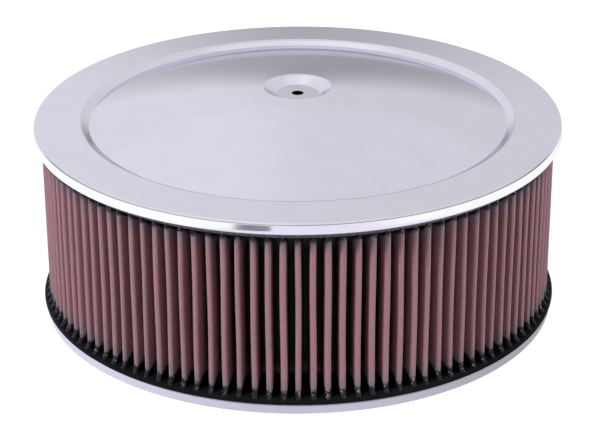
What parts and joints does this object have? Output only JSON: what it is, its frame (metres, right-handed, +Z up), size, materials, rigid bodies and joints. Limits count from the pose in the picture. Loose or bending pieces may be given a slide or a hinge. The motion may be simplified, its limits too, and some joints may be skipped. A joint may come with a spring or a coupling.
{
  "type": "carburetor air cleaner",
  "caption": "Round open-element air cleaner: a shallow domed plated lid over a tall ring of red-brown pleats, on a flat plated base with a carburetor neck.",
  "frame": {"origin": "on the axis of the cleaner, at the foot of the base plate's rim", "axes": "+Z up the axis from the base to the lid, +X to the right and +Y away from the viewer of the picture"},
  "size_m": [0.362, 0.362, 0.1545],
  "materials": {
    "plated_steel": "bright plated",
    "end_cap_rubber": "satin moulded",
    "oiled_gauze": "woven, oiled",
    "gasket_rubber": "matte"
  },
  "bodies": {
    "root": {"top_plate": "plated_steel", "base_plate": "plated_steel", "upper_seal": "end_cap_rubber", "lower_seal": "end_cap_rubber", "pleat_pack": "oiled_gauze", "neck_gasket": "gasket_rubber", "breather_plug": "gasket_rubber"}
  },
  "joints": []
}
